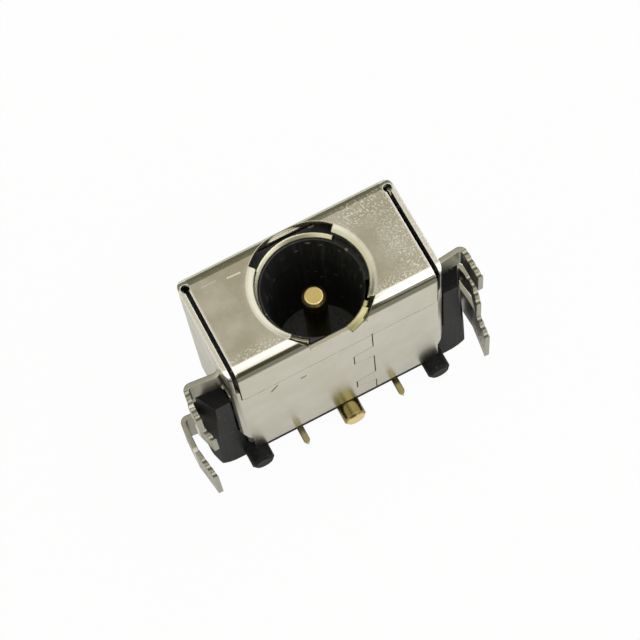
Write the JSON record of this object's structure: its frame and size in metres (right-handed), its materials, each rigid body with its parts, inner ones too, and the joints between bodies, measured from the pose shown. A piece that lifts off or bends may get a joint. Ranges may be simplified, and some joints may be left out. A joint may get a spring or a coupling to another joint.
{
  "type": "dc barrel jack",
  "caption": "Right-angle DC power jack: a folded metal shield with board legs round a moulded barrel socket with a centre pin, locating pegs and solder tails.",
  "frame": {"origin": "pin axis at the rear face", "axes": "+Z along the plug axis, out of the mouth; -Y is the board side; +X to the right as seen with the mouth up and the board side towards the viewer"},
  "size_m": [0.0219, 0.0098, 0.0164],
  "materials": {
    "nickel": "nickel-plated sheet, lightly scuffed",
    "insulator": "moulded, satin",
    "carrier_plastic": "moulded, satin",
    "pin_gold": "gold-plated, bright",
    "sleeve_nickel": "plated, bright",
    "spring_gold": "gold-plated, satin"
  },
  "bodies": {
    "root": {"shield": "nickel", "housing": "insulator", "carrier": "carrier_plastic", "centre_pin": "pin_gold", "sleeve_contact": "sleeve_nickel", "barrel_spring": "spring_gold"}
  },
  "joints": []
}
